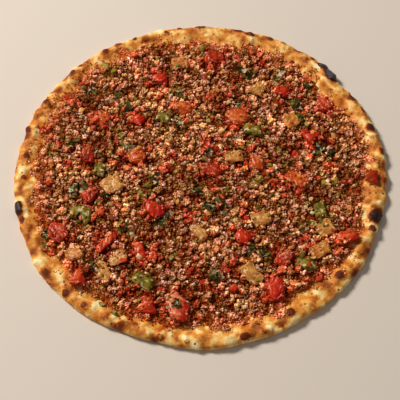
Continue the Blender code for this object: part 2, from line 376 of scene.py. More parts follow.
# Char spots on the rim: angle in degrees, inset from the lip, half length along it, half width
# across it, and depth, which is over 0.9 for the few large blisters.
CHARS = (
    (41, 3.5, 10, 6, 1.3), (45, 2.5, 8, 4, 1.2), (30, 1.5, 6, 3, 0.8), (24, 2, 5, 2.5, 0.75),
    (17, 4, 5, 4, 0.95), (8, 2, 5.5, 3, 0.8), (357, 3, 4, 3, 0.55), (344, 4.5, 9, 6, 1.1),
    (339, 4, 5, 4, 0.75), (326, 2.5, 3, 2, 0.45), (319, 8, 5, 4.5, 0.86), (308, 8, 5, 4, 0.45),
    (299, 8.5, 5, 4.5, 0.84), (289, 3.5, 4, 3, 0.6), (283, 3.5, 7, 4.2, 0.75),
    (276, 13, 3.5, 3, 0.65), (266, 4, 3, 3, 0.55), (263, 5, 4, 3, 0.5), (259, 9.5, 3, 3, 0.5),
    (258, 3, 6, 3.5, 0.65), (250, 7.5, 4, 3, 0.6), (246, 3.5, 5, 4, 0.7), (241, 4.5, 4, 3.5, 0.5),
    (233, 4.5, 4.5, 4, 0.7), (226, 3.5, 5, 4, 0.75), (217, 3.5, 5, 4, 0.75), (209, 2.5, 4, 3, 0.6),
    (203, 3.5, 4, 3.5, 0.5), (197, 3, 5, 3.5, 0.8), (193, 2.5, 8, 4, 1.1), (182, 8, 4, 3.5, 0.7),
    (178, 2, 3, 1.5, 0.5), (174, 7.5, 4, 3.6, 0.8), (169, 7.5, 2.5, 2.5, 0.5),
    (164, 3, 4, 3.4, 0.8), (158, 3.5, 3, 3, 0.5), (152, 3.5, 4.5, 3.5, 0.85), (146, 5, 4, 3, 0.5),
    (138, 3.5, 4, 3, 0.75), (134, 2.5, 4, 2.5, 0.6), (124, 3.5, 4.5, 3.2, 0.7),
    (119, 2.5, 4, 2.5, 0.6), (113, 3, 4, 2.6, 0.65), (110, 7, 4.5, 3, 0.6),
    (102, 5.5, 3.5, 3, 0.65), (97, 3, 4, 3, 0.75), (90, 3, 7, 3.4, 0.75), (83, 5, 3.5, 2.6, 0.45),
    (77, 2.5, 6, 2.6, 0.8), (73, 5, 7, 3.2, 0.8), (66, 3, 5.5, 3, 0.7), (61, 2, 5, 2.2, 0.65),
    (55, 3.5, 5, 3, 0.6), (50, 2, 4.5, 2.5, 0.7), (51, 6, 4, 3.5, 0.5), (13, 6.5, 3, 2.5, 0.5),
    (351, 7, 4, 3, 0.4), (334, 8, 4, 3.5, 0.4), (312, 11, 4, 3, 0.4), (294, 4, 4, 3, 0.4),
)
CHAR_REACH = 0.14  # radians along the rim beyond which a spot has no effect
LARGE_BLISTER = 0.9
RIM_RADIUS = 142
BREAD_RADIUS = 145
BUBBLE_SPACING = 6.0
RINGS = (0.985, 0.98, 0.975, 0.97, 0.96, 0.95, 0.92, 0.88, 0.8, 0.7, 0.5)  # each of the one before


def along_rim(x, y):
    """Angle, inset from the lip, and how far across the rim a place is: 0 at the mince, 1 at the
    lip."""
    angle = math.atan2(y, x)
    lip, bed = LIP(angle), BED(angle)
    reach = math.hypot(x, y)
    return angle, lip - reach, (reach - bed) / (lip - bed)


def char_at(place, angle, inset):
    """How charred the rim is here, how far a blister lifts it, and how brown its surroundings
    are: a large blister stands in a pale ring, a small one in a toasted halo."""
    uneven = 0.6 * noise.noise(place / 3.5) + 0.4 * noise.noise(place / 1.4)
    char, rise, around = 0.0, 0.0, 0.0
    for degrees, middle, along, across, depth in CHARS:
        apart = (angle - math.radians(degrees) + math.pi) % (2 * math.pi) - math.pi
        if abs(apart) > CHAR_REACH:
            continue
        share = 0.52 + 0.34 * min(depth, 1.0)
        away = math.hypot(
            apart * RIM_RADIUS / (share * along), (inset - middle) / (share * across),
        )
        wobble = 1 + uneven * (0.9 - 0.5 * min(depth, 1.0))
        char = max(char, depth ** 1.3 * smooth_step(1.6 - 1.25 * away * wobble))
        rise = max(rise, depth * smooth_step(1.3 - away))
        if depth > LARGE_BLISTER:
            around -= 0.4 * smooth_step(1 - abs(away - 1.55) / 0.5)
        else:
            around += 0.14 * smooth_step(1.9 - away)
    return char, rise, around


def bubble_at(place):
    """Small round bubbles in the dough's skin: a dome in most cells of an uneven pattern."""
    near, points = noise.voronoi(place / BUBBLE_SPACING)
    lucky = noise.cell(points[0] * 3.7)
    return max(0.0, 1 - (near[0] / 0.45) ** 2) if lucky > 0.1 else 0.0


def is_flat(face, height):
    return all(abs(vert.co.z - height) < 0.01 for vert in face.verts)


def runs_round(edge):
    """Whether an edge runs round the rim rather than across it."""
    first, second = (math.hypot(*vert.co.xy) for vert in edge.verts)
    return abs(first - second) < 0.5 * edge.calc_length()


def refined_crust():
    """The bread's solid with a finer skin: its rim band is rounded, its flat faces are ringed."""
    bm = node_mesh("crust")
    flats = [face for face in bm.faces if is_flat(face, 0.0) or is_flat(face, DOUGH_TOP)]
    bmesh.ops.delete(bm, geom=flats, context="FACES")
    bmesh.ops.join_triangles(
        bm, faces=bm.faces, angle_face_threshold=math.pi, angle_shape_threshold=math.pi,
    )
    round_the_rim = [edge for edge in bm.edges if runs_round(edge)]
    bmesh.ops.subdivide_edges(bm, edges=round_the_rim, cuts=1, use_grid_fill=True)
    bm = subdivided(bm, 2)
    for on_top in (True, False):
        edges = [
            edge for edge in bm.edges
            if edge.is_boundary and (edge.verts[0].co.z > DOUGH_TOP / 2) == on_top
        ]
        for share in RINGS:
            made = bmesh.ops.extrude_edge_only(bm, edges=edges)
            edges = made_by(made, bmesh.types.BMEdge)
            for vert in made_by(made, bmesh.types.BMVert):
                vert.co.xy *= share
        middle = list({vert for edge in edges for vert in edge.verts})
        bmesh.ops.pointmerge(bm, verts=middle, merge_co=(0, 0, middle[0].co.z))
    bmesh.ops.recalc_face_normals(bm, faces=bm.faces)
    bm.normal_update()
    return bm


def bread_at(vert):
    """How charred, toasted and oily the bread is at a vertex, and how far its skin swells out."""
    place = vert.co.copy()
    flat = Vector((place.x, place.y, 0))
    angle, inset, across = along_rim(place.x, place.y)
    upper = smooth_step((vert.normal.z + 0.35) / 0.7) * smooth_step((place.z - 1.0) / 2.0)
    on_rim = smooth_step((across + 0.25) / 0.3) * upper
    char, rise, around = char_at(place, angle, inset)

    pillow = noise.noise(flat / 9.0) * 1.1 + noise.noise(flat / 5.0 + Vector((9, 0, 0))) * 0.6
    bubble = bubble_at(flat)
    grain = noise.noise(place / 1.5) * 0.10 + noise.noise(place / 2.8) * 0.18
    swelling = 1.3 * pillow + 0.8 * bubble + grain + 1.3 * rise
    lift = on_rim * swelling + (1 - upper) * grain * 0.5

    patch = noise.noise(flat / 9.0 + Vector((0, 31, 0))) + 0.4 * noise.noise(flat / 4.0)
    side = smooth_step(0.6 - vert.normal.z)
    oven_side = 0.1 * abs(place.x) / BREAD_RADIUS + 0.05 * min(place.y, 0) / BREAD_RADIUS
    # paler on puffs, bubbles and the lip's steep outer side: the dough's own colour, and painted
    # highlight
    toast = 0.44 + 0.55 * patch - 0.3 * pillow - 0.15 * bubble + around - 0.2 * side + oven_side

    stain = noise.noise(flat / 6.0 + Vector((50, 0, 0))) + 0.5 * noise.noise(flat / 2.5)
    oil = smooth_step(0.75 - across * 1.5 + 1.3 * stain) * upper
    return char * smooth_step((place.z - 0.3) / 1.2), toast, oil, lift


def make_bread(dough):
    bm = refined_crust()
    chars, toasts, oils, lifts = zip(*(bread_at(vert) for vert in bm.verts))
    normals = [vert.normal.copy() for vert in bm.verts]
    for vert, normal, lift in zip(bm.verts, normals, lifts):
        vert.co += normal * lift
    mesh = mesh_of("flatbread", bm)
    set_numbers(mesh, "char", chars)
    set_numbers(mesh, "toast", toasts)
    set_numbers(mesh, "oil", oils)
    finish("flatbread", mesh, dough, ["crust"])


# ------------------------------ the mince

# Middles of the parsley leaves that show, and of the vegetable bits too small to be nodes.
PARSLEY = (
    (-89, 76), (-67, 72), (-18, 46), (-17, 74), (-59, 60), (33, 99), (41, 92), (64, 91), (31, 63),
    (76, 63), (81, 50), (88, 80), (-101, 29), (-80, 17), (-98, -13), (-90, -14), (-98, -20),
    (-75, -22), (-57, 24), (7, 16), (-36, -6), (-3, -18), (-57, -50), (7, -31), (-31, -45),
    (-25, -40), (16, -28), (20, -34), (79, -49), (69, 5), (92, 18), (94, 21), (101, 16),
    (-80, -82), (-117, -56), (-18, -113), (37, -69), (47, -72), (8, -88), (14, -92),
)
TOMATO_BITS = (
    (-97, 85), (-108, 72), (-39, 97), (-60, 115), (-118, 32), (-126, 41), (-103, 9), (-76, 42),
    (-84, 47), (-62, 15), (-24, 14), (-24, 5), (10, 71), (24, 72), (34, 93), (50, 105), (48, 116),
    (90, 87), (62, 65), (6, 26), (13, 21), (36, 7), (74, 17), (102, 6), (116, -10), (56, -10),
    (22, -28), (35, -40), (82, -64), (27, -73), (27, -81), (20, -85), (24, -100), (12, -101),
    (88, -90), (2, -94), (-7, -84), (-25, -80), (-8, -37), (-75, -37), (-122, -40), (-57, -78),
    (-53, -100), (48, -108),
)
PEPPER_BITS = (
    (-79, 101), (-71, 96), (1, 119), (-63, 35), (8, 54), (33, 24), (-119, 18), (-46, -19),
    (-38, -18), (-41, -12), (44, -10), (44, -33), (96, -8), (105, -9), (-73, -111), (-62, -120),
    (75, -75), (75, 63),
)
ONION_BITS = ((-96, 58), (67, -66), (106, 33), (52, 72), (-24, 27), (-48, 20))

# Stretches of the topping drawn paler, and others drawn darker, with more of the painted-shade
# hollows: (x, y, radius)
PALE_PATCHES = (
    (-38, 68, 7), (-62, -22, 8), (-70, -8, 6), (-97, -77, 4), (-105, -60, 4), (71, 47, 5),
    (37, -44, 6), (4, 40, 6), (-28, 30, 8), (99, -60, 4), (-20, 60, 5), (50, 78, 5), (-62, 98, 5),
    (30, -116, 5), (66, -88, 4), (98, 8, 4), (-102, 2, 4), (-66, 57, 4),
)
DARK_PATCHES = (
    (22, 67, 5), (106, 24, 4), (-10, -12, 7), (-24, -20, 6), (92, -18, 6), (115, -5, 5),
    (52, -60, 6), (-38, -62, 6), (-37, -93, 4), (-2, -112, 6), (-104, 50, 6), (-90, 66, 5),
    (-78, 28, 6), (-32, 118, 6), (66, 20, 5), (-58, 78, 6), (78, -100, 5), (-106, -66, 4),
    (-20, -88, 4),
)

CORE_REACH = 134.0
CORE_STEP = 0.8
CORE_LOW = 4.5  # the bottoms of the cracks between clumps
CORE_HIGH = 7.6  # the tops of the clumps
CORE_FILM = 0.25  # how far the core's thin edge lies above the dough
CLUMP = 6.2
NUB = 1.9
RIM_KEPT = 4.0  # the strip along the lip that no mince reaches
CRUMB_REACH = 138
BLANKS = 12  # differently shaped crumbs, and as many grains

# The mince's own colours, from a clump that stayed pale to one that took up tomato or herbs.
TAN, BROWN, DUSTY, ROSY = tones("#f2c190", "#d08c50", "#a88060", "#cc7c58")
# The gap brown is the colour of the core's cracks: juice brown, and painted shade.
ORANGE, OLIVE, RED, GAP_JUICE_AND_SHADE = tones("#e88e40", "#80703a", "#c03c16", "#5e1600")
GOLD, MAUVE, OILY_EDGE, FATTY = tones("#efbc70", "#935c48", "#c4621c", "#d87440")
UNDERSIDE_JUICE_AND_SHADE = np.array((0.62, 0.17, 0.025))  # a copy's underside: the juice's darkening and painted shade
TOP_DRYING_AND_LIGHT = np.array((1.42, 1.66, 1.96))  # a copy's top: the oven's drying and painted light

NEAR_TOMATO = Nearness(chunk_discs("tomato") + [(x, y, 2.0) for x, y in TOMATO_BITS], 6.0)
NEAR_HERB = Nearness(chunk_discs("pepper") + [(x, y, 1.5) for x, y in PARSLEY + PEPPER_BITS], 7.0)
PALE, DARK = Nearness(PALE_PATCHES, 9.0), Nearness(DARK_PATCHES, 9.0)


def inset_at(x, y):
    """How far inside the mince's edge a place is. The edge wanders, but keeps off the lip."""
    angle, reach = math.atan2(y, x), math.hypot(x, y)
    wander = 7.0 * noise.noise(Vector((x, y, 90)) / 9.0)
    wander += 2.6 * noise.noise(Vector((x, y, 0)) / 4.0)
    return min(BED(angle) + wander, LIP(angle) - RIM_KEPT) - reach


def clump(x, y):
    """How far up its clump's dome a place is, 0 to 1, and three numbers of the clump's own."""
    flat = Vector((x, y, 0))
    warped = flat + noise.noise_vector(flat / 4.5) * 2.2
    near, points = noise.voronoi(warped / CLUMP)
    middle = points[0]
    own = [noise.cell(middle * 7.3 + Vector((step * 11.7, 0, 0))) for step in range(3)]
    return smooth_step((near[1] - near[0]) / 0.42), own


def pocket(x, y):
    """How far a place is sunk in one of the hollows that the stirring left, 0 to 1; the mince is
    painted darker there, as shade.
    """
    hollow = noise.noise(Vector((x / 6.5, y / 6.5, 40)))
    return smooth_step(2.6 * hollow - 0.45 + 0.25 * DARK(x, y))


def core_height(x, y, inset):
    """The core's upper face: clumps with cracks between them, thinning out at its edge."""
    flat = Vector((x, y, 0))
    dome, own = clump(x, y)
    near = noise.voronoi(flat / NUB)[0]
    nub = 1.0 - min(near[0] / 0.6, 1.0) ** 2
    swell = noise.noise(flat / 14.0)
    full = CORE_LOW + (CORE_HIGH - CORE_LOW) * dome * (0.8 + 0.2 * own[0]) + 0.9 * swell
    full += 0.9 * nub + 0.4 * noise.noise(flat / 1.3) - 1.2 * pocket(x, y)
    dough = dough_height(x, y)
    share = smooth_step((inset + 0.5) / 6.0)
    return dough + CORE_FILM + (full - dough - CORE_FILM) * share


def core_tint(x, y, z):
    """The core is meat on its clumps, dark brown down its cracks, for juice and as painted shade,
    and orange fat along its edge.
    """
    lit = smooth_step((z - CORE_LOW) / (CORE_HIGH + 0.6 - CORE_LOW))
    tint = GAP_JUICE_AND_SHADE + (meat_tint(x, y) - GAP_JUICE_AND_SHADE) * 0.75 * lit
    return tint + (OILY_EDGE - tint) * 0.8 * smooth_step(1.1 - inset_at(x, y) / 9)


def make_core(meat):
    """The moist mass under the crumbs, hollowed where the vegetables lie."""
    count = int(2 * CORE_REACH / CORE_STEP)
    bm = bmesh.new()
    bmesh.ops.create_grid(bm, x_segments=count, y_segments=count, size=CORE_REACH)
    outside = []
    for vert in bm.verts:
        x, y = vert.co.xy
        inset = inset_at(x, y)
        if inset < -0.6:
            outside.append(vert)
            continue
        height = core_height(x, y, inset)
        chunk = COVER(x, y)
        vert.co.z = min(height, chunk[1] - 0.3) if chunk else height
    bmesh.ops.delete(bm, geom=outside, context="VERTS")
    loose = [vert for vert in bm.verts if not vert.link_faces]
    bmesh.ops.delete(bm, geom=loose, context="VERTS")
    rim = [edge for edge in bm.edges if edge.is_boundary]
    for vert in made_by(bmesh.ops.extrude_edge_only(bm, edges=rim), bmesh.types.BMVert):
        vert.co.z = DOUGH_TOP + 0.1
    mesh = mesh_of("mince_core", bm)
    places = np.empty(len(mesh.vertices) * 3, np.float32)
    mesh.vertices.foreach_get("co", places)
    tints = np.array([core_tint(x, y, z) for x, y, z in places.reshape(-1, 3)])
    set_tints(mesh, soaked(tints))
    finish("mince_core", mesh, meat, ["mince_layer"])


def meat_tint(x, y):
    """The mince's colour here: each clump has its own tone, and what lies near has coloured it; in
    the hollows it is painted darker, as shade.
    """
    flat = Vector((x, y, 0))
    own = clump(x, y)[1]
    red, green, pale, dark = NEAR_TOMATO(x, y), NEAR_HERB(x, y), PALE(x, y), DARK(x, y)
    paleness = smooth_step(0.45 + 0.5 * own[1] + 1.1 * noise.noise(flat / 3.5))
    tone = BROWN + (TAN - BROWN) * paleness
    stretches = (  # a colour, how wide its stretches are, how common, how much clumps differ
        (DUSTY, 12.0, -0.25, 0.4), (ORANGE, 10.0, 0.0, 0.4), (ROSY, 7.0, 0.6 * red - 0.05, 0.4),
        (GOLD, 9.0, 0.8 * pale - 0.5 * dark - 0.2, 0.4),
        (MAUVE, 8.0, 0.5 * dark - 0.6 * pale - 0.35, 0.4),
        (OLIVE, 8.0, 0.9 * green - 0.35, 0.4), (RED, 6.0, 1.2 * red - 0.5, 0.5),
    )
    for step, (other, wide, start, by_clump) in enumerate(stretches):
        wave = noise.noise(flat / wide + Vector((0, 0, 20.0 * step)))
        amount = start + 2.0 * wave + 1.8 * by_clump * own[step % 3]
        tone = tone + (other - tone) * 0.8 * smooth_step(amount)
    tone = tone + (FATTY - tone) * 0.3 * smooth_step(1 - inset_at(x, y) / 16)
    light = 1.31 + 0.45 * noise.noise(flat / 9.0 + Vector((70, 0, 0)))
    light = light + 0.2 * own[2] + 0.22 * pale - 0.2 * dark
    # painted shade in the hollows
    return tone * light * (1 - 0.62 * pocket(x, y))


def crumb_blank(chance, lumpy=0.42):
    """One crumb of about 1 across: a block drawn out, bent and knobbled, a few dozen faces."""
    bm = bmesh.new()
    bmesh.ops.create_cube(bm, size=1)
    bmesh.ops.subdivide_edges(bm, edges=bm.edges, cuts=1, use_grid_fill=True)
    long, high = chance.uniform(1.0, 1.5), chance.uniform(0.7, 1.0)
    for vert in bm.verts:
        vert.co = vert.co.normalized() * 0.5 * (1 + chance.uniform(-lumpy, lumpy))
        vert.co.x *= long
        vert.co.z *= high
        vert.co.y += 0.35 * vert.co.x ** 2 * chance.choice((-1, 1))
    return blank_arrays(bm)


def grain_blank(chance):
    """The smallest grains, with twenty faces."""
    bm = bmesh.new()
    bmesh.ops.create_icosphere(bm, subdivisions=1, radius=0.5)
    long = chance.uniform(1.0, 1.6)
    for vert in bm.verts:
        vert.co *= 1 + chance.uniform(-0.35, 0.35)
        vert.co.x *= long
    return blank_arrays(bm)


def soaked(tints):
    """Darker meat holds more of its red-brown juices, which take away its paler colours first."""
    dryness = (tints[:, 0] / 0.62).clip(0, 1.15)
    return tints * np.stack((np.ones_like(dryness), 0.5 + 0.5 * dryness, dryness ** 2.1), axis=1)


def scatter(name, blanks, places, finish_material, dressing=soaked):
    """Joins a copy of a blank at each place, a tuple of its number, middle, sizes, turn and tint.
    Undersides are painted darker and redder, for juice and as shade, and tops lighter, as painted
    light."""
    parts = []
    for number, middle, sizes, turn, tint in places:
        blank, faces = blanks[number]
        turned = (blank * np.array(sizes)) @ np.array(turn.to_matrix()).T
        too_high = max(0.0, middle[2] + turned[:, 2].max() - CEILING)
        height = (turned[:, 2:] / max(sizes) + 0.5).clip(0, 1)
        # painted shade low on each copy and painted light high on it, by its height
        tints = np.array([tint]) * (UNDERSIDE_JUICE_AND_SHADE + (TOP_DRYING_AND_LIGHT - UNDERSIDE_JUICE_AND_SHADE) * height)
        parts.append((turned + np.array(middle) - (0, 0, too_high), faces, tints))
    mesh, tints = joined(name, parts)
    set_tints(mesh, dressing(tints))
    finish(name, mesh, finish_material, smooth=False)


def any_turn(chance):
    return Euler([chance.uniform(0, 2 * math.pi) for _ in range(3)])


def spill(angle):
    """How far crumbs strayed onto the rim at this angle, against their usual reach."""
    around = Vector((math.cos(angle), math.sin(angle), 0)) * 6.5
    back_left = smooth_step(1.5 - abs(math.degrees(angle) - 142) / 26)
    return max(0.15, 1 + 2.2 * noise.noise(around) + 1.3 * back_left)


def spread(chance, spacing, overflow, jitter=0.5):
    """Places in an uneven hexagonal layout over the mince, thinning out past its edge."""
    row_step = spacing * math.sqrt(3) / 2
    rows = int(CRUMB_REACH / row_step)
    for row in range(-rows, rows + 1):
        for column in range(-rows, rows + 1):
            x = (column + 0.5 * (row % 2) + chance.uniform(-jitter, jitter)) * spacing
            y = (row + chance.uniform(-jitter, jitter)) * row_step
            angle, inset = math.atan2(y, x), inset_at(x, y)
            on_bread = LIP(angle) - math.hypot(x, y) > RIM_KEPT
            if inset > -overflow * chance.random() ** 2 * spill(angle) and on_bread:
                yield x, y, inset


def crumbs_on(name, well_inside):
    """The share of crumbs kept on a vegetable: few, but more along its edges, and many on pulp."""
    if name in PULPY:
        return 0.55
    if name in CRUMBED:
        return 0.15 if well_inside else 0.6
    return 0.03 if well_inside else 0.4


def crumb_places(chance, spacing, smallest, largest, sink, overflow, in_gaps):
    """Where crumbs of these sizes lie. Each sinks in by this share of its size, a few stray past
    the mince's edge by up to overflow, and in_gaps is the share kept in cracks between clumps."""
    places = []
    for x, y, inset in spread(chance, spacing, overflow):
        size = smallest + (largest - smallest) * chance.random() ** 1.5
        dome = clump(x, y)[0]
        if chance.random() > in_gaps + (1.2 - in_gaps) * dome:
            continue
        chunk = COVER.deep(x, y, 0.3 * size)
        pulpy = bool(chunk) and chunk[0] in PULPY
        if chunk and chance.random() > crumbs_on(chunk[0], COVER.deep(x, y, 1.8)):
            continue
        if chunk:
            ground = chunk[2] - (0.65 if pulpy else 0.2) * size
        elif inset > 0:
            ground = core_height(x, y, inset)
        else:
            ground = dough_height(x, y) + 0.3 * size
        sizes = [size * chance.uniform(0.8, 1.2) for _ in range(3)]
        middle = (x, y, ground + size * (0.5 - sink) + chance.uniform(-0.2, 0.3))
        # crumbs low in the cracks between clumps get a darker tint: painted shade
        tint = meat_tint(x, y) * chance.uniform(0.8, 1.2) * (0.42 + 0.7 * dome)
        if chunk and chance.random() < (0.85 if pulpy else 0.4):
            tint = flesh_tint(chunk[0], Vector((x, y, 0))) * chance.uniform(0.5, 1.05)
        places.append((chance.randrange(BLANKS), middle, sizes, any_turn(chance), tint))
    return places


def make_crumbs(meat):
    chance = random.Random(3)
    coarse = [crumb_blank(chance) for _ in range(BLANKS)]
    fine = [grain_blank(chance) for _ in range(BLANKS)]
    large = crumb_places(
        chance, spacing=3.2, smallest=1.6, largest=2.6, sink=0.5, overflow=1.0, in_gaps=0.15,
    )
    scatter("mince_crumbs_large", coarse, large, meat)
    crumbs = crumb_places(
        chance, spacing=2.1, smallest=1.08, largest=1.9, sink=0.42, overflow=3.0, in_gaps=0.3,
    )
    grains = crumb_places(
        chance, spacing=1.54, smallest=0.8, largest=1.38, sink=0.34, overflow=5.0, in_gaps=0.6,
    )
    for name, blanks, found in (("crumbs", coarse, crumbs), ("grains", fine, grains)):
        half = len(found) // 2
        scatter("mince_%s_far" % name, blanks, found[half:], meat)
        scatter("mince_%s_near" % name, blanks, found[:half], meat)


# ------------------------------ diced vegetables

# Three colours for each kind: two for broad patches of the flesh, and one for flecks in it.
RIPE = tones("#cc2e08", "#b01a03", "#ea7440")
CUT_FLESH = tones("#da501c", "#c02c08", "#f09c68")
ORANGE_FLESH = tones("#d05c1a", "#b8380c", "#e8a058")
PULP = tones("#c43614", "#a02006", "#ea8c58")
RUSTY_FLESH = tones("#b03a10", "#84240a", "#d47030")
PINK_FLESH = tones("#d66434", "#c44620", "#f0a880")
PEPPER = tones("#8a781c", "#584c0c", "#d8c48c")
ONION = tones("#d49044", "#b06c2c", "#eec27c")
GOLDEN_ONION = tones("#d8883a", "#b46424", "#f0bc70")
LEAF_GREEN = tones("#625a20", "#30290a", "#aea67a")
SKIN_AND_SHADE_RED = np.array(colour("#a50c00"))


def numbered(kind, *numbers):
    return {"%s_%02d" % (kind, number) for number in numbers}


ORANGE_ONES = numbered("tomato", 3, 7, 10, 12, 13, 24)
CUT_ONES = numbered("tomato", 14, 15, 17, 18, 19)
RUSTY_ONES = numbered("tomato", 26) | {"tomato_on_rim"}
PINK_ONES = numbered("tomato", 20)
PULPY = numbered("tomato", 3, 4, 7, 8, 10, 11, 16, 23, 24, 25) | numbered("onion", 5, 9, 10, 11, 13)
GOLDEN_ONES = numbered("onion", 5, 6, 9, 13)
CRUMBED = numbered("onion", 5, 7, 8, 9, 10, 11, 12, 13) | ORANGE_ONES


def own_layer(name):
    """A shift that takes each piece to its own layer of the noise."""
    return Vector((0, 0, CHUNK_NAMES.index(name) * 13.0))


def along_fibres(name, place):
    """The place squeezed along the piece's own fibres, which draws a pattern out into streaks."""
    run = CHUNK_NAMES.index(name) * 2.4
    along = place.x * math.cos(run) + place.y * math.sin(run)
    across = place.y * math.cos(run) - place.x * math.sin(run)
    return Vector((along * 0.3, across * 1.3, place.z))


def soft_chunk(name):
    """A chunk's solid softened by the oven: its outline pulled about and its skin wrinkled."""
    bm = node_mesh(name)
    bmesh.ops.dissolve_limit(bm, angle_limit=math.radians(3), verts=bm.verts, edges=bm.edges)
    bm = subdivided(bm, 3)
    bm.normal_update()
    shift = own_layer(name)
    onion_here = name.startswith("onion")
    rough = 0.7 if name in PULPY else 0.35 if onion_here else 0.15
    softness = 0.45 if name.startswith("pepper") else 1.3 if onion_here else 1.0
    folding = 1.0 if name.startswith("tomato") else 0.3
    for vert in bm.verts:
        place = vert.co + shift
        pulled = noise.noise_vector(place / 5.5) * 1.3 + noise.noise_vector(place / 2.4) * 0.35
        pulled = pulled * softness
        fold = 0.3 - 1.3 * abs(noise.noise(along_fibres(name, place) / 2.4))
        wrinkle = rough * noise.noise(place / 1.2) + folding * fold
        vert.co += Vector((pulled.x, pulled.y, 0.35 * pulled.z)) + vert.normal * wrinkle
        vert.co.z = min(vert.co.z, CEILING)
    bmesh.ops.recalc_face_normals(bm, faces=bm.faces)
    return bm


def shades(place, palette, coarse, fine):
    """A mixture of three tones: broad patches of the first two, and flecks of the third."""
    share = smooth_step(0.5 + 1.3 * noise.noise(place / coarse))
    fleck = smooth_step(2.4 * noise.noise(place / fine + Vector((0, 0, 50))) - 0.3)
    mixed = palette[0] + (palette[1] - palette[0]) * share
    return mixed + (palette[2] - mixed) * fleck


def flesh_tint(name, place):
    """The colour of a vegetable's flesh at this place."""
    if name.startswith("pepper"):
        return shades(place, PEPPER, 4.0, 2.6)
    if name.startswith("onion"):
        return shades(place, GOLDEN_ONION if name in GOLDEN_ONES else ONION, 3.5, 1.8)
    kind = RIPE
    for names, palette in (
        (PULPY, PULP), (RUSTY_ONES, RUSTY_FLESH), (CUT_ONES, CUT_FLESH), (PINK_ONES, PINK_FLESH),
        (ORANGE_ONES, ORANGE_FLESH),
    ):
        kind = palette if name in names else kind
    return shades(along_fibres(name, place), kind, 4.0, 1.6)


def chunk_tint(name, place, facing):
    """A vegetable's colour here. A ripe tomato's right side and steep faces are its redder, darker
    skin, laid where painted shade falls too.
    """
    low, high = CHUNK_BOXES[name]
    across = (2 * place.x - low.x - high.x) / (high.x - low.x)
    up = (2 * place.y - low.y - high.y) / (high.y - low.y)
    flesh = flesh_tint(name, place + own_layer(name))
    if not name.startswith("tomato") or name in ORANGE_ONES or name in PULPY:
        return flesh
    # real skin, and painted shade on the side and faces turned from the light
    skin_and_shade = smooth_step(0.25 + 1.5 * (across - 0.3 * up) + 1.2 * (0.8 - facing))
    return flesh + (SKIN_AND_SHADE_RED - flesh) * 0.9 * skin_and_shade


def make_chunks(kind, piece_name, finish_material):
    """All the nodes of one kind as one soft, detailed piece."""
    names = [name for name in CHUNK_NAMES if name.startswith(kind)]
    parts = []
    for name in names:
        bm = soft_chunk(name)
        bm.normal_update()
        facings = [vert.normal.z for vert in bm.verts]
        points, faces = blank_arrays(bm)
        tints = [chunk_tint(name, Vector(point), facing) for point, facing in zip(points, facings)]
        parts.append((points, faces, tints))
    mesh, tints = joined(piece_name, parts)
    set_tints(mesh, tints)
    finish(piece_name, mesh, finish_material, names)


# ------------------------------ herbs and small bits


def leaf_blank(chance):
    """A scrap of flat parsley about 1 across: a lobed, curled and slightly thick leaf."""
    bm = bmesh.new()
    bmesh.ops.create_circle(bm, cap_ends=True, cap_tris=True, segments=10, radius=0.5)
    bend, twist = chance.uniform(0.5, 1.3), chance.uniform(-0.8, 0.8)
    for vert in bm.verts:
        if vert.co.length > 0.1:
            lobe = int(round(math.atan2(vert.co.y, vert.co.x) / (math.pi / 5))) % 2
            vert.co *= (0.62 if lobe else 1.1) * chance.uniform(0.85, 1.15)
        vert.co.y *= 0.75
    made = bmesh.ops.extrude_face_region(bm, geom=bm.faces[:])
    for vert in made_by(made, bmesh.types.BMVert):
        vert.co.z += 0.07
    for vert in bm.verts:
        vert.co.z += bend * vert.co.y ** 2 + twist * vert.co.x * vert.co.y + 0.3 * vert.co.x ** 2
    return blank_arrays(bm)


def topping_height(x, y):
    """The height of the topping's own surface, crumbs and vegetables included."""
    chunk = COVER(x, y)
    inset = inset_at(x, y)
    if inset < 0:
        return dough_height(x, y)
    return max(core_height(x, y, inset) + 0.9, chunk[2] if chunk else 0)


def lying_turn(chance, tilt):
    tilts = chance.uniform(-tilt, tilt), chance.uniform(-tilt, tilt)
    return Euler((*tilts, chance.uniform(0, 2 * math.pi)))


def anywhere(chance, count, inset):
    """Random places over the mince, this far in from its edge."""
    for _ in range(count):
        angle, share = chance.uniform(-math.pi, math.pi), math.sqrt(chance.random())
        reach = (BED(angle) - inset) * share
        yield reach * math.cos(angle), reach * math.sin(angle)


def leaf_place(chance, x, y, size):
    middle = (x, y, topping_height(x, y) + 0.18 * size)
    # one leaf in five takes the pale tone: paler underside, and painted highlight
    tint = LEAF_GREEN[chance.choice((0, 0, 1, 1, 2))] * chance.uniform(0.6, 1.3)
    return chance.randrange(8), middle, (size, size, size), lying_turn(chance, 0.6), tint


def make_parsley(leaf):
    """Chopped parsley: a small heap of scraps at each place where it shows, and loose flecks."""
    chance = random.Random(11)
    blanks = [leaf_blank(chance) for _ in range(8)]
    places = []
    for x, y in PARSLEY:
        for _ in range(8):
            leaf_x, leaf_y = x + chance.gauss(0, 2.2), y + chance.gauss(0, 2.2)
            places.append(leaf_place(chance, leaf_x, leaf_y, chance.uniform(2.6, 5.2)))
    for x, y in anywhere(chance, 130, 2.0):
        places.append(leaf_place(chance, x, y, chance.uniform(0.9, 2.6)))
    scatter("parsley", blanks, places, leaf, np.array)


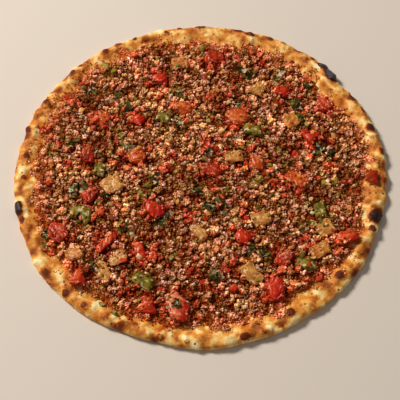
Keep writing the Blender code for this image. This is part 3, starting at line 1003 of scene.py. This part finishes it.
def make_bits(kind, middles, others, smallest, largest, palette, finish_material):
    """Dice too small to be nodes: those that show, and others mixed through the mince."""
    chance = random.Random(len(kind) + others)
    blanks = [crumb_blank(chance, 0.25) for _ in range(8)]
    places = []
    placed = [(x, y, 1.25) for x, y in middles]
    placed += [(x, y, 0.8) for x, y in anywhere(chance, others, 3.0)]
    for x, y, share in placed:
        size = chance.uniform(smallest, largest) * share
        sizes = (size * chance.uniform(0.8, 1.1), size * chance.uniform(0.7, 1.0), size * 0.5)
        tint = shades(Vector((x, y, 0)) * 5, palette, 7.0, 5.0) * chance.uniform(0.8, 1.2)
        middle = (x, y, topping_height(x, y) + 0.05 * size)
        places.append((chance.randrange(8), middle, sizes, lying_turn(chance, 0.5), tint))
    scatter(kind + "_bits", blanks, places, finish_material, np.array)


# ------------------------------ materials

DOUGH_MOTTLE = 100 / 19  # brown and pale patches in the dough, 19 to 100 mm
DOUGH_GRAIN = 100 / 62  # and the speckle of its skin
MEAT_FIBRE = 1.2  # drawn coarser than a real fibre, so that it shows
FIBRE_HOLLOW_SHADE = (0.58, 0.38, 0.16, 1)  # painted shade in a fibre's hollow and painted light on its crest, as multipliers of the meat's tint
FIBRE_CREST_LIGHT = (1.44, 1.50, 1.58, 1)


def spots(tree, place, apart, radius, share):
    """Round spots of this radius, in this share of cells this far apart."""
    cells = add(tree, "TexVoronoi", {"Vector": place, "Scale": 1 / (apart * MM)})
    near = radius / apart
    round_spot = add(tree, "MapRange", {"Value": cells.outputs["Distance"],
                                        "From Min": 1.6 * near, "From Max": 0.8 * near})
    draw = add(tree, "SeparateColor", {"Color": cells.outputs["Color"]})
    chosen = add(tree, "Math", {0: draw.outputs[0], 1: share}, operation="LESS_THAN")
    both = {0: round_spot.outputs[0], 1: chosen.outputs[0]}
    return add(tree, "Math", both, operation="MULTIPLY").outputs[0]


def set_ramp(node, stops):
    """Gives a colour ramp these (position, hex colour) stops."""
    ramp = node.color_ramp
    while len(ramp.elements) < len(stops):
        ramp.elements.new(0.5)
    for element, (position, code) in zip(ramp.elements, stops):
        element.position = position
        element.color = (*colour(code), 1)


def noise_pattern(tree, place, size, detail, roughness):
    """An even noise, 0 to 1, with features of this size."""
    return add(tree, "TexNoise", {"Vector": place, "Scale": 1 / (size * MM), "Detail": detail,
                                  "Roughness": roughness}).outputs["Fac"]


def dough_material():
    """Baked wheat dough: a dry, slightly leathery skin, cream where it puffed up, partly as painted
    highlight, golden below, brown to black where blisters met the oven's heat, grey on the largest
    blisters' tops as painted sheen, pricked with small scorched bubbles, stained by orange fat."""
    made, tree, shader = new_material("baked wheat dough")
    place = add(tree, "TexCoord").outputs["Object"]
    toast, char, oil = (
        add(tree, "Attribute", attribute_name=name).outputs["Fac"]
        for name in ("toast", "char", "oil")
    )
    mottle = noise_pattern(tree, place, DOUGH_MOTTLE, 6.0, 0.62)
    grain = noise_pattern(tree, place, DOUGH_GRAIN, 4.0, 0.65)
    speckle = add(tree, "Math", {0: grain, 1: 0.6, 2: -0.3}, operation="MULTIPLY_ADD")
    spot = spots(tree, place, 5.0, 0.75, 0.4)

    level = add(tree, "Math", {0: mottle, 1: 0.9, 2: -0.45}, operation="MULTIPLY_ADD")
    level = add(tree, "Math", {0: toast, 1: level.outputs[0]}, operation="ADD")
    level = add(tree, "Math", {0: level.outputs[0], 1: speckle.outputs[0]}, operation="ADD")
    skin = add(tree, "ValToRGB", {"Fac": level.outputs[0]})
    set_ramp(skin, ((0.0, "#ffeab0"), (0.2, "#fcd487"), (0.4, "#eeab52"), (0.58, "#d3812f"),
                    (0.78, "#a95a1e"), (1.0, "#75340f")))

    stain = add(tree, "Math", {0: mottle, 1: 2.4, 2: -1.2}, operation="MULTIPLY_ADD")
    stain = add(tree, "Math", {0: oil, 1: stain.outputs[0]}, operation="ADD")
    stain = add(tree, "MapRange", {"Value": stain.outputs[0], "From Min": 0.3, "From Max": 0.8})
    fatty = add(tree, "ValToRGB", {"Fac": level.outputs[0]})
    set_ramp(fatty, ((0.0, "#f0b250"), (0.5, "#dc8328"), (1.0, "#ac4a10")))
    stained = add(tree, "Mix", {"Factor": stain.outputs[0], 6: skin.outputs["Color"],
                                7: fatty.outputs["Color"]}, data_type="RGBA")
    pricked = add(tree, "Mix", {"Factor": spot, 6: stained.outputs[2],
                                7: (*colour("#8e4c18"), 1)}, data_type="RGBA")

    uneven = add(tree, "Math", {0: mottle, 1: 0.7, 2: -0.35}, operation="MULTIPLY_ADD")
    uneven = add(tree, "Math", {0: uneven.outputs[0], 1: speckle.outputs[0]}, operation="ADD")
    burnt = add(tree, "Math", {0: char, 1: uneven.outputs[0]}, operation="ADD").outputs[0]
    amount = add(tree, "MapRange", {"Value": burnt, "From Min": 0.2, "From Max": 0.52})
    deepness = add(tree, "MapRange", {"Value": burnt, "From Min": 0.0, "From Max": 1.4})
    dark = add(tree, "ValToRGB", {"Fac": deepness.outputs[0]})
    # the last, grey stop is painted sheen on the tops of the largest blisters
    set_ramp(dark, ((0.0, "#c87020"), (0.2, "#a04a0e"), (0.36, "#823406"), (0.52, "#642404"),
                    (0.68, "#421604"), (0.84, "#241612"), (1.0, "#565052")))
    mixed = add(tree, "Mix", {"Factor": amount.outputs[0], 6: pricked.outputs[2],
                              7: dark.outputs["Color"]}, data_type="RGBA")
    tree.links.new(mixed.outputs[2], shader.inputs["Base Color"])

    relief = add(tree, "Math", {0: grain, 1: spot}, operation="SUBTRACT")
    bump = add(tree, "Bump", {"Height": relief.outputs[0], "Distance": 0.6 * MM, "Strength": 0.6})
    tree.links.new(bump.outputs["Normal"], shader.inputs["Normal"])
    crisp = add(tree, "MapRange", {"Value": burnt, "From Min": 0.8, "From Max": 1.1})
    glossy = add(tree, "Math", {0: stain.outputs[0], 1: crisp.outputs[0]}, operation="MAXIMUM")
    gloss = add(tree, "MapRange", {"Value": glossy.outputs[0], "To Min": 0.66, "To Max": 0.38})
    tree.links.new(gloss.outputs[0], shader.inputs["Roughness"])
    shader.inputs["Specular IOR Level"].default_value = 0.2
    return made


def meat_material(name, roughness, gloss):
    """Minced lamb, browned in its own fat: matt fibres with a thin, uneven film of fat."""
    made, tree, shader = new_material(name)
    place = add(tree, "TexCoord").outputs["Object"]
    tint = add(tree, "Attribute", attribute_name="tint").outputs["Color"]
    fibre = noise_pattern(tree, place, MEAT_FIBRE, 3.0, 0.65)
    share = add(tree, "MapRange", {"Value": fibre, "From Min": 0.37, "From Max": 0.63})
    # the fibres' hollows painted darker and their crests lighter, following the bump: painted shade
    # and light
    shade = add(tree, "Mix", {"Factor": share.outputs[0], 6: FIBRE_HOLLOW_SHADE, 7: FIBRE_CREST_LIGHT},
                data_type="RGBA")
    toned = add(tree, "Mix", {"Factor": 1.0, 6: tint, 7: shade.outputs[2]}, data_type="RGBA",
                blend_type="MULTIPLY")
    tree.links.new(toned.outputs[2], shader.inputs["Base Color"])
    bump = add(tree, "Bump", {"Height": fibre, "Distance": 0.8 * MM, "Strength": 0.8})
    tree.links.new(bump.outputs["Normal"], shader.inputs["Normal"])
    shader.inputs["Roughness"].default_value = roughness
    shader.inputs["Specular IOR Level"].default_value = gloss
    return made


def vegetable_material(name, roughness, gloss, subsurface, grain_size, spotted=0.0):
    """Soft baked vegetable: a wet, slightly translucent flesh whose colour is the piece's own,
    with a grain of this size, and roasted dots in this share of the places for them."""
    made, tree, shader = new_material(name)
    place = add(tree, "TexCoord").outputs["Object"]
    tint = add(tree, "Attribute", attribute_name="tint").outputs["Color"]
    grain = noise_pattern(tree, place, grain_size, 4.0, 0.6)
    shade = add(tree, "MapRange", {"Value": grain, "From Min": 0.3, "From Max": 0.7,
                                   "To Min": 0.8, "To Max": 1.16})
    toned = add(tree, "Mix", {"Factor": 1.0, 6: tint, 7: shade.outputs[0]}, data_type="RGBA",
                blend_type="MULTIPLY")
    spot = spots(tree, place, 4.5, 0.6, spotted)
    dotted = add(tree, "Mix", {"Factor": spot, 6: toned.outputs[2], 7: (*colour("#6a2c0c"), 1)},
                 data_type="RGBA")
    tree.links.new(dotted.outputs[2], shader.inputs["Base Color"])
    bump = add(tree, "Bump", {"Height": grain, "Distance": 0.6 * MM, "Strength": 0.4})
    tree.links.new(bump.outputs["Normal"], shader.inputs["Normal"])
    shader.inputs["Roughness"].default_value = roughness
    shader.inputs["Specular IOR Level"].default_value = gloss
    shader.inputs["Subsurface Weight"].default_value = subsurface
    shader.inputs["Subsurface Scale"].default_value = 2 * MM
    return made


# ------------------------------ the whole lahmacun

set_view()
set_light()
set_floor()
make_bread(dough_material())

# The mass between the crumbs: the same meat, dulled and darkened by the juices it lies in, with
# painted shade down its cracks.
make_core(meat_material("mince soaked in its juices", roughness=0.8, gloss=0.05))
# The crumbs: browned, painted lighter on top and darker underneath, with a sheen of lamb fat.
make_crumbs(meat_material("browned mince", roughness=0.4, gloss=0.18))

# Tomato, diced raw and collapsed in the oven: red to orange, wet, a little light in its flesh.
tomato = vegetable_material("baked tomato", 0.27, 0.25, subsurface=0.1, grain_size=2.0)
# Green pepper, gone soft and olive, with a duller, tougher skin.
pepper = vegetable_material("baked green pepper", 0.35, 0.14, subsurface=0.05, grain_size=2.5)
# Onion, glassy and golden, dotted brown where it caught the heat.
onion = vegetable_material("baked onion", 0.35, 0.25, 0.15, grain_size=100 / 35, spotted=0.3)
make_chunks("tomato", "tomato_dice", tomato)
make_chunks("pepper", "pepper_strips", pepper)
make_chunks("onion", "onion_pieces", onion)
make_bits("tomato", TOMATO_BITS, 100, 2.0, 4.4, PULP, tomato)
make_bits("pepper", PEPPER_BITS, 60, 2.4, 5.0, PEPPER, pepper)
make_bits("onion", ONION_BITS, 90, 2.6, 5.0, ONION, onion)

# Flat-leaf parsley, chopped: thin, dull, dark green leaves, some pale, for their paler underside up
# and as painted highlight.
leaf = vegetable_material("chopped parsley, wilted by the heat", 0.5, 0.1, 0.0, grain_size=100 / 60)
make_parsley(leaf)
